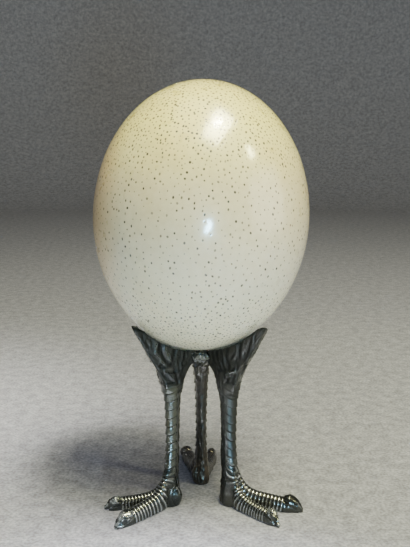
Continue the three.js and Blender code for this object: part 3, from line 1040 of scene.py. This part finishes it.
def leg_relief(points, normals, pose):
    """How far the detail stands out of each point of a leg, and what the material needs there."""
    z = points[:, 2]
    a, b = shank_frame(points)
    around = np.degrees(np.arctan2(b / shank_minor(z), a / shank_major(z)))
    bands, band_crest, groove, on_nail, wear = leg_bands(points, around, pose)
    rough, rough_cavity, back = bark(points, around)
    folds, fold_cavity, fold_crest, side = bracket_folds(points, normals, pose)
    crease = heel_creases(points)
    relief = bands + rough + folds - HEEL_CREASE_DEPTH * crease
    dips = [groove, rough_cavity, FOLD_CAVITY * fold_cavity, CREASE_CAVITY * crease]
    cavity = np.maximum.reduce(dips)
    relief += layered(points, CAST_SKIN) + on_nail * layered(points, NAIL_GRAIN)
    lumps = layered(points, NAIL_LUMPS)
    relief += wear * (NAIL_LUMP_HEIGHT * lumps - NAIL_WEAR_DEPTH)
    sole = ramp(z, *SOLE_HEIGHTS)
    scraped = ramp(lumps, *SCRAPED) * wear
    crest = band_crest * (1 - cavity) + NAIL_CREST * on_nail + SCRAPED_CREST * scraped
    crest += FOLD_CREST_MARK * fold_crest
    edge = 1 - ramp(np.abs(normals[:, 1]), *POLISHED_EDGE)
    matte = side * (1 - EDGE_POLISH * edge) * (1 - FOLD_POLISH * fold_crest)
    dull = np.maximum(BARK_MARK * back * ramp(z, *BARK_DULL_HEIGHTS), matte)
    return relief * sole, {"cavity": cavity * sole, "crest": crest, "dull": dull}


def make_leg(pose):
    field = leg_field(pose)
    points, faces = surface_net(field, LEG_LOW, LEG_HIGH, LEG_STEP)
    points, normals = settled(field, points)
    relief, marks = leg_relief(points, normals, pose)
    z = points[:, 2]
    marks["rust"] = pose["rust"] * (RUST_ABOVE + (1 - RUST_ABOVE) * ramp(z, *RUST_HEIGHTS))
    # Along the seat's rim the metal is glossier and lighter, which is a painted highlight.
    seat = ramp(egg_field(turned(points, pose["azimuth"])), *SEAT_REACH)
    shank = pose["matte"] * between(z, *MATTE_HEIGHTS)
    marks["dull"] = np.maximum(marks["dull"], shank) * (1 - seat)
    marks["crest"] = np.maximum(marks["crest"], SEAT_RIM_HIGHLIGHT * seat)
    points = points + normals * relief[:, None]
    points[:, 2] = np.maximum(points[:, 2], 0.0)
    world = turned(points, pose["azimuth"])
    return make_mesh(pose["node"] + "_casting", world, faces, marks)


# ---------------- hub


def hub_field(points):
    x, y, z = points.T
    low, high = HUB_HEIGHTS
    radius = HUB_RADIUS * (HUB_NECK + (1 - HUB_NECK) * ramp(z, *HUB_NECK_HEIGHTS))
    post = np.maximum(np.hypot(x - HUB_CENTRE_X, y) - radius, np.maximum(low - z, z - high))
    shape = merge(post, ball(points, SOLDER_PLACE, SOLDER_HALF), HUB_FILLET)
    shape = shape - layered(points, HUB_LUMPS)
    return carve(shape, egg_field(points) - SEAT_GAP, HUB_SEAT_FILLET)


def make_hub():
    points, faces = surface_net(hub_field, HUB_LOW, HUB_HIGH, HUB_STEP)
    points, normals = settled(hub_field, points)
    fine = layered(points, HUB_SKIN)
    points = points + normals * (HUB_SKIN_HEIGHT * fine)[:, None]
    marks = {"cavity": ramp(fine, *HUB_SHADE), "crest": HUB_CREST * ramp(fine, *HUB_WORN)}
    marks["dull"] = marks["rust"] = np.zeros(len(points))
    return make_mesh("hub_casting", points, faces, marks)


# ---------------- materials

# Noise textures: how many patches in a metre, and levels of detail.
SHELL_PATCH_NOISE = (22.0, 2.0)
SHELL_MOTTLE_NOISE = (260.0, 4.0)
SHELL_WEAR_NOISE = (90.0, 3.0)
SHELL_GRAIN_NOISE = (900.0, 3.0)
PATINA_NOISE = (70.0, 4.0)
SPECKLE_NOISE = (380.0, 4.0)
METAL_WEAR_NOISE = (240.0, 4.0)
METAL_GRAIN_NOISE = (1500.0, 3.0)
PAPER_FINE_NOISE = (520.0, 4.0)
PAPER_COARSE_NOISE = (120.0, 5.0)

# Ranges: from, to, and what those become.
# Painted light and shade on the egg: its colour changes with height, lightest at the bottom.
SHELL_PAINTED_LIGHT_HEIGHTS = (0.09, 0.26, 0.0, 1.0)
# Painted warm shade and reflection: the egg's left side is browner and darker.
SHELL_LEFT_SHADE = (-0.042, -0.065, 0.0, 0.95)
SHELL_ROUGHNESS = (0.3, 0.7, 0.26, 0.38)
# Pore marks: dirt in the pores and painted shade of their pits.
PORE_HALO = (0.0, 0.35, 0.0, 0.35)
PORE_PIT = (0.12, 0.75, 0.0, 0.97)
METAL_CREST = (0.5, 1.0, 0.0, 0.75)
METAL_DULLED = (0.0, 1.0, 0.0, 0.75)
METAL_SUNKEN = (0.0, 1.0, 0.0, 0.80)
METAL_ROUGHNESS = (0.3, 0.7, 0.11, 0.21)
METAL_COAT = (0.0, 1.0, 0.85, 0.05)
RUST_SPECKLE = (0.35, 0.65, 0.3, 1.0)

# The shell's cream colour, with painted light and shade by height: lightest at the bottom, darkest a
# little above the middle and yellower at the top.
SHELL_TONES_WITH_PAINTED_LIGHT = [
    (0.10, (0.98, 0.935, 0.79)),
    (0.26, (0.90, 0.850, 0.70)),
    (0.44, (0.74, 0.680, 0.55)),
    (0.64, (0.69, 0.610, 0.40)),
    (0.84, (0.81, 0.745, 0.275)),
]
SHELL_PATCHES = [(0.30, (0.975, 0.94, 0.86)), (0.52, (1.0, 1.0, 1.0)), (0.75, (1.0, 1.01, 1.07))]
SHELL_MOTTLE = [(0.35, (0.94, 0.93, 0.90)), (0.62, (1.0, 1.0, 1.0))]
# Colour of the painted warm shade on the egg's left side.
LEFT_SHADE_COLOUR = (0.76, 0.50, 0.23)
# Pore colours: dirt in the pores and painted shade of their pits.
HALO_DIRT_AND_SHADE_COLOUR = (0.40, 0.345, 0.21)
PIT_DIRT_AND_SHADE_COLOUR = (0.030, 0.026, 0.020)
PIT_ROUGHNESS = 0.4
PATINA = [
    (0.28, (0.021, 0.027, 0.032)),
    (0.48, (0.033, 0.042, 0.045)),
    (0.66, (0.042, 0.047, 0.045)),
    (0.80, (0.058, 0.047, 0.037)),
]
# Worn bright metal on crests, and a painted highlight along the seat's rim.
WEAR_AND_RIM_HIGHLIGHT_COLOUR = (0.52, 0.56, 0.61)
# Darker, rougher metal where the dull mark lies: the bracket faces, the backs of the legs and the
# matte shanks.
DULL_COLOUR = (0.016, 0.017, 0.017)
RUST_COLOUR = (0.150, 0.110, 0.078)
SUNKEN_COLOUR = (0.006, 0.007, 0.007)
DULL_ROUGHNESS = 0.26
SUNKEN_ROUGHNESS = 0.3
PAPER_FINE = [(0.38, (0.74, 0.74, 0.74)), (0.62, (1.22, 1.22, 1.22))]
PAPER_COARSE = [(0.36, (0.80, 0.80, 0.81)), (0.64, (1.14, 1.14, 1.13))]

SHELL_SOCKETS = {
    "IOR": 1.5,
    "Coat Weight": 1.0,
    "Coat IOR": 1.75,
    "Coat Roughness": 0.12,
    "Subsurface Weight": 0.08,
    "Subsurface Radius": (1.0, 0.7, 0.4),
    "Subsurface Scale": 0.002,
}
SHELL_BUMP = {"Distance": 0.00006, "Strength": 0.5}
METAL_SOCKETS = {"Metallic": 0.85, "Coat Roughness": 0.22}
METAL_BUMP = {"Distance": 0.00005, "Strength": 0.6}
PAPER_SOCKETS = {"Roughness": 0.9}


def fill(tree, node, values):
    """Sockets of a node filled: linked to another node's socket, or given a plain value."""
    for key, value in values.items():
        socket = node.inputs[key]
        if isinstance(value, bpy.types.NodeSocket):
            tree.links.new(value, socket)
        elif isinstance(value, tuple):
            socket.default_value = (*value, 1.0)[: len(socket.default_value)]
        else:
            socket.default_value = value


def add_node(tree, kind, values):
    node = tree.nodes.new("ShaderNode" + kind)
    fill(tree, node, values)
    return node


def new_material(name, values):
    material = bpy.data.materials.new(name)
    material.use_nodes = True
    tree = material.node_tree
    tree.nodes.clear()
    shader = add_node(tree, "BsdfPrincipled", values)
    add_node(tree, "OutputMaterial", {"Surface": shader.outputs[0]})
    return material, tree, shader


def attribute(tree, name):
    node = add_node(tree, "Attribute", {})
    node.attribute_name = name
    return node.outputs["Fac"]


def object_place(tree):
    """The place of a point on the object, in metres."""
    return add_node(tree, "TexCoord", {}).outputs["Object"]


def noise_texture(tree, scale, detail):
    """Noise by place on the object."""
    values = {"Scale": scale, "Detail": detail, "Vector": object_place(tree)}
    return add_node(tree, "TexNoise", values).outputs["Fac"]


def part_of_place(tree, axis):
    """One coordinate of a point of the object, in metres."""
    return add_node(tree, "SeparateXYZ", {0: object_place(tree)}).outputs[axis]


def colour_ramp(tree, source, stops):
    node = add_node(tree, "ValToRGB", {"Fac": source})
    elements = node.color_ramp.elements
    while len(elements) < len(stops):
        elements.new(0.5)
    for element, (place, colour) in zip(elements, stops):
        element.position = place
        element.color = (*colour, 1.0)
    return node.outputs["Color"]


def mixed(tree, share, first, second, mode="MIX"):
    """Two colours mixed. Each is a socket or a plain colour."""
    node = add_node(tree, "Mix", {})
    node.data_type = "RGBA"
    node.blend_type = mode
    wanted = {"Factor": share, "A": first, "B": second}
    fill(tree, node, {i: wanted[x.name] for i, x in enumerate(node.inputs) if x.enabled})
    return [x for x in node.outputs if x.enabled][0]


def multiplied(tree, first, second):
    """Two colours multiplied."""
    return mixed(tree, 1.0, first, second, "MULTIPLY")


def arithmetic(tree, operation, first, second, clamp=False):
    node = add_node(tree, "Math", {0: first, 1: second})
    node.operation = operation
    node.use_clamp = clamp
    return node.outputs[0]


def mapped(tree, source, low, high, to_low, to_high):
    values = {"From Min": low, "From Max": high, "To Min": to_low, "To Max": to_high}
    return add_node(tree, "MapRange", {"Value": source, **values}).outputs["Result"]


def bump(tree, height, values):
    """Surface directions bent by fine relief."""
    return add_node(tree, "Bump", {"Height": height, **values}).outputs["Normal"]


def eggshell_material():
    material, tree, shader = new_material("eggshell", SHELL_SOCKETS)
    # Painted light and shade: the shell's colour changes with height, lightest at the bottom and
    # yellower at the top.
    height = mapped(tree, part_of_place(tree, "Z"), *SHELL_PAINTED_LIGHT_HEIGHTS)
    patches = colour_ramp(tree, noise_texture(tree, *SHELL_PATCH_NOISE), SHELL_PATCHES)
    broad = multiplied(tree, colour_ramp(tree, height, SHELL_TONES_WITH_PAINTED_LIGHT), patches)
    # Painted warm shade on the egg's left side.
    left_shade = mapped(tree, part_of_place(tree, "X"), *SHELL_LEFT_SHADE)
    broad = mixed(tree, left_shade, broad, LEFT_SHADE_COLOUR)
    mottle = colour_ramp(tree, noise_texture(tree, *SHELL_MOTTLE_NOISE), SHELL_MOTTLE)
    shell = multiplied(tree, broad, mottle)
    # The pore mark darkens the shell: dirt in the pores and painted shade of their pits.
    pore = attribute(tree, "pore")
    halo = mixed(tree, mapped(tree, pore, *PORE_HALO), shell, HALO_DIRT_AND_SHADE_COLOUR)
    colour = mixed(tree, mapped(tree, pore, *PORE_PIT), halo, PIT_DIRT_AND_SHADE_COLOUR)
    worn = mapped(tree, noise_texture(tree, *SHELL_WEAR_NOISE), *SHELL_ROUGHNESS)
    pitted = arithmetic(tree, "MULTIPLY", pore, PIT_ROUGHNESS)
    rough = arithmetic(tree, "ADD", worn, pitted, clamp=True)
    grain = bump(tree, noise_texture(tree, *SHELL_GRAIN_NOISE), SHELL_BUMP)
    fill(tree, shader, {"Base Color": colour, "Roughness": rough, "Normal": grain})
    return material


def metal_material():
    material, tree, shader = new_material("dark_metal", METAL_SOCKETS)
    patina = colour_ramp(tree, noise_texture(tree, *PATINA_NOISE), PATINA)
    # The crest mark: worn bright metal, and along the seat's rim a painted highlight.
    bright = mapped(tree, attribute(tree, "crest"), *METAL_CREST)
    worn = mixed(tree, bright, patina, WEAR_AND_RIM_HIGHLIGHT_COLOUR)
    # The dull mark darkens and roughens the metal on the bracket faces, the backs of the legs and the
    # matte shanks.
    dull = attribute(tree, "dull")
    dulled = mixed(tree, mapped(tree, dull, *METAL_DULLED), worn, DULL_COLOUR)
    speckle = mapped(tree, noise_texture(tree, *SPECKLE_NOISE), *RUST_SPECKLE)
    rusty = arithmetic(tree, "MULTIPLY", attribute(tree, "rust"), speckle)
    aged = mixed(tree, rusty, dulled, RUST_COLOUR)
    sunken = mapped(tree, attribute(tree, "cavity"), *METAL_SUNKEN)
    colour = mixed(tree, sunken, aged, SUNKEN_COLOUR)
    rough = mapped(tree, noise_texture(tree, *METAL_WEAR_NOISE), *METAL_ROUGHNESS)
    for mark, strength, clamp in ((dull, DULL_ROUGHNESS, False), (sunken, SUNKEN_ROUGHNESS, True)):
        part = arithmetic(tree, "MULTIPLY", mark, strength)
        rough = arithmetic(tree, "ADD", rough, part, clamp)
    coat = mapped(tree, dull, *METAL_COAT)
    grain = bump(tree, noise_texture(tree, *METAL_GRAIN_NOISE), METAL_BUMP)
    values = {"Base Color": colour, "Roughness": rough, "Coat Weight": coat, "Normal": grain}
    fill(tree, shader, values)
    return material


def floor_material():
    """Pale mottled paper, with painted shade that darkens it out to the foot of the sweep, painted
    light that lightens it again up the sweep, and painted light in front of the stand.
    """
    material, tree, shader = new_material("backdrop_paper", PAPER_SOCKETS)
    fine = colour_ramp(tree, noise_texture(tree, *PAPER_FINE_NOISE), PAPER_FINE)
    coarse = colour_ramp(tree, noise_texture(tree, *PAPER_COARSE_NOISE), PAPER_COARSE)
    # Painted shade and light by distance from the middle.
    length = add_node(tree, "VectorMath", {0: object_place(tree)})
    length.operation = "LENGTH"
    distance = mapped(tree, length.outputs["Value"], *BACKDROP_DISTANCES)
    paper = colour_ramp(tree, distance, BACKDROP_TONES_WITH_PAINTED_SHADE)
    # Painted light: the paper is lighter in front of the stand.
    front_light = mapped(tree, part_of_place(tree, "Y"), *BACKDROP_FRONT_REACH)
    paper = mixed(tree, front_light, paper, BACKDROP_FRONT_PAINTED_LIGHT)
    colour = multiplied(tree, paper, multiplied(tree, fine, coarse))
    fill(tree, shader, {"Base Color": colour})
    return material


# ---------------- floor, lights and camera

BACKDROP_DISTANCES = (0.0, 2.6, 0.0, 1.0)
BACKDROP_FRONT_REACH = (-0.07, -0.16, 0.0, 1.0)
# Paper tones with painted shade and light by distance: darker out to the foot of the sweep, lighter
# again up it.
BACKDROP_TONES_WITH_PAINTED_SHADE = [
    (0.14, (0.262, 0.272, 0.374)),
    (0.22, (0.248, 0.256, 0.362)),
    (0.31, (0.240, 0.247, 0.352)),
    (0.43, (0.222, 0.229, 0.328)),
    (0.62, (0.211, 0.216, 0.300)),
    (0.81, (0.245, 0.250, 0.338)),
    (0.93, (0.284, 0.290, 0.388)),
]
# Painted light: how much lighter the paper is in front of the stand.
BACKDROP_FRONT_PAINTED_LIGHT = (0.62, 0.64, 0.72)
LIGHTS_AIM = (0, 0, 0.15)
# Name, direction around and up in degrees, distance, width and height, roll, power, colour.
LIGHTS = [
    ("key", -50, 69, 1.1, (0.34, 0.70), -60, 17.0, (1.0, 0.95, 0.53)),
    ("key_core", -51, 68, 1.05, (0.27, 0.46), -60, 8.5, (1.0, 0.95, 0.42)),
    ("overhead", -96, 80, 1.2, (1.0, 1.0), 0, 5.5, (1.0, 0.96, 0.74)),
    ("window", -24, 40, 1.2, (0.15, 0.18), 0, 3.8, (1.0, 0.97, 0.46)),
    ("front_soft", -84, 2, 1.4, (0.7, 0.5), 0, 0.4, (0.70, 0.93, 1.0)),
    ("front_small", -83, -3, 1.2, (0.105, 0.19), -20, 6.7, (0.38, 0.76, 1.0)),
    ("right_soft", -18, 8, 1.2, (0.9, 0.8), 0, 5.0, (1.0, 0.96, 0.80)),
]
# Narrow lights end with the place they face and the angle they spread over.
BEAMS = [
    ("floor_pool", -39, 64, 1.31, (0.16, 0.16), 0, 0.50, (1.0, 0.95, 0.74), (-0.24, 0.13, 0), 23),
    ("front_pool", -104, 60, 1.0, (0.14, 0.10), 0, 1.6, (1.0, 0.97, 0.93), (-0.03, -0.22, 0), 15),
]
FLOOR_RADIUS = 2.3
SWEEP_RADIUS = 0.7
SWEEP_HEIGHT = 1.5
SWEEP_STEPS = 12
FLOOR_RINGS = (0.0001, 0.2, 0.6, FLOOR_RADIUS - SWEEP_RADIUS)
FLOOR_SIDES = 96
WORLD_COLOUR = (0.98, 0.97, 0.95)
WORLD_STRENGTH = 0.105
CAMERA_PLACE = (0.0027, -0.483, 0.236)
CAMERA_PITCH = math.radians(10.9)
FOCAL_PIXELS = 822.0
IMAGE_HEIGHT_PIXELS = 547.0
SENSOR_WIDTH = 36.0


def make_floor(material):
    """A pale sheet that lies flat and sweeps up all round."""
    profile = [(out, 0.0) for out in FLOOR_RINGS]
    for i in range(1, SWEEP_STEPS + 1):
        angle = math.pi / 2 * i / SWEEP_STEPS
        out = FLOOR_RADIUS - SWEEP_RADIUS * (1 - math.sin(angle))
        profile.append((out, SWEEP_RADIUS * (1 - math.cos(angle))))
    profile.append((FLOOR_RADIUS, SWEEP_HEIGHT))
    turn = 2 * math.pi * np.arange(FLOOR_SIDES) / FLOOR_SIDES
    points = [(out * math.cos(a), out * math.sin(a), up) for out, up in profile for a in turn]
    rows = np.arange(len(profile) - 1)[:, None] * FLOOR_SIDES
    here = rows + np.arange(FLOOR_SIDES)
    after = rows + (np.arange(FLOOR_SIDES) + 1) % FLOOR_SIDES
    faces = np.stack([here, after, after + FLOOR_SIDES, here + FLOOR_SIDES], axis=-1)
    floor = make_mesh("floor", np.array(points) / MM, faces.reshape(-1, 4), {})
    floor.data.materials.append(material)


def make_light(name, azimuth, elevation, distance, size, roll, power, colour, aim=LIGHTS_AIM):
    """A soft square light that faces a place, from a direction around it."""
    data = bpy.data.lights.new(name, "AREA")
    data.shape = "RECTANGLE"
    data.size, data.size_y = size
    data.energy = power
    data.color = colour
    light = linked(name, data)
    light.visible_camera = False
    a, e = math.radians(azimuth), math.radians(elevation)
    way = Vector((math.cos(a) * math.cos(e), math.sin(a) * math.cos(e), math.sin(e)))
    light.location = Vector(aim) + way * distance
    turn = way.to_track_quat("Z", "Y") @ Quaternion((0, 0, 1), math.radians(roll))
    light.rotation_euler = turn.to_euler()
    return light


def make_lights():
    for light in LIGHTS:
        make_light(*light)
    for *beam, spread in BEAMS:
        make_light(*beam).data.spread = math.radians(spread)
    world = bpy.data.worlds.new("studio")
    world.use_nodes = True
    background = world.node_tree.nodes["Background"]
    fill(world.node_tree, background, {"Color": WORLD_COLOUR, "Strength": WORLD_STRENGTH})
    bpy.context.scene.world = world


def make_camera():
    data = bpy.data.cameras.new("camera")
    data.sensor_width = SENSOR_WIDTH
    data.lens = FOCAL_PIXELS * SENSOR_WIDTH / IMAGE_HEIGHT_PIXELS
    camera = linked("camera", data)
    camera.location = CAMERA_PLACE
    camera.rotation_euler = (math.pi / 2 - CAMERA_PITCH, 0, 0)
    bpy.context.scene.camera = camera


# ---------------- the scene


def place(piece, material, node, slot):
    """A piece that takes the place of a solid."""
    piece.data.materials.append(material)
    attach(piece, "root")
    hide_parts(node)


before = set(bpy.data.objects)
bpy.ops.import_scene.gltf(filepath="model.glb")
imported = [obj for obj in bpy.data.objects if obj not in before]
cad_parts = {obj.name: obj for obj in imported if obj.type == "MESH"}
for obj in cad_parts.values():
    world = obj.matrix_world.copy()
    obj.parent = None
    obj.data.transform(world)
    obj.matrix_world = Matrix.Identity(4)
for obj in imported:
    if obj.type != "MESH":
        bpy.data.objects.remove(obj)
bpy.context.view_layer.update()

make_camera()
make_lights()
make_floor(floor_material())
place(make_egg(), eggshell_material(), "egg", "eggshell")
metal = metal_material()
for leg in LEGS:
    place(make_leg(leg), metal, leg["node"], "dark_metal")
place(make_hub(), metal, "hub", "dark_metal")

bpy.context.view_layer.update()
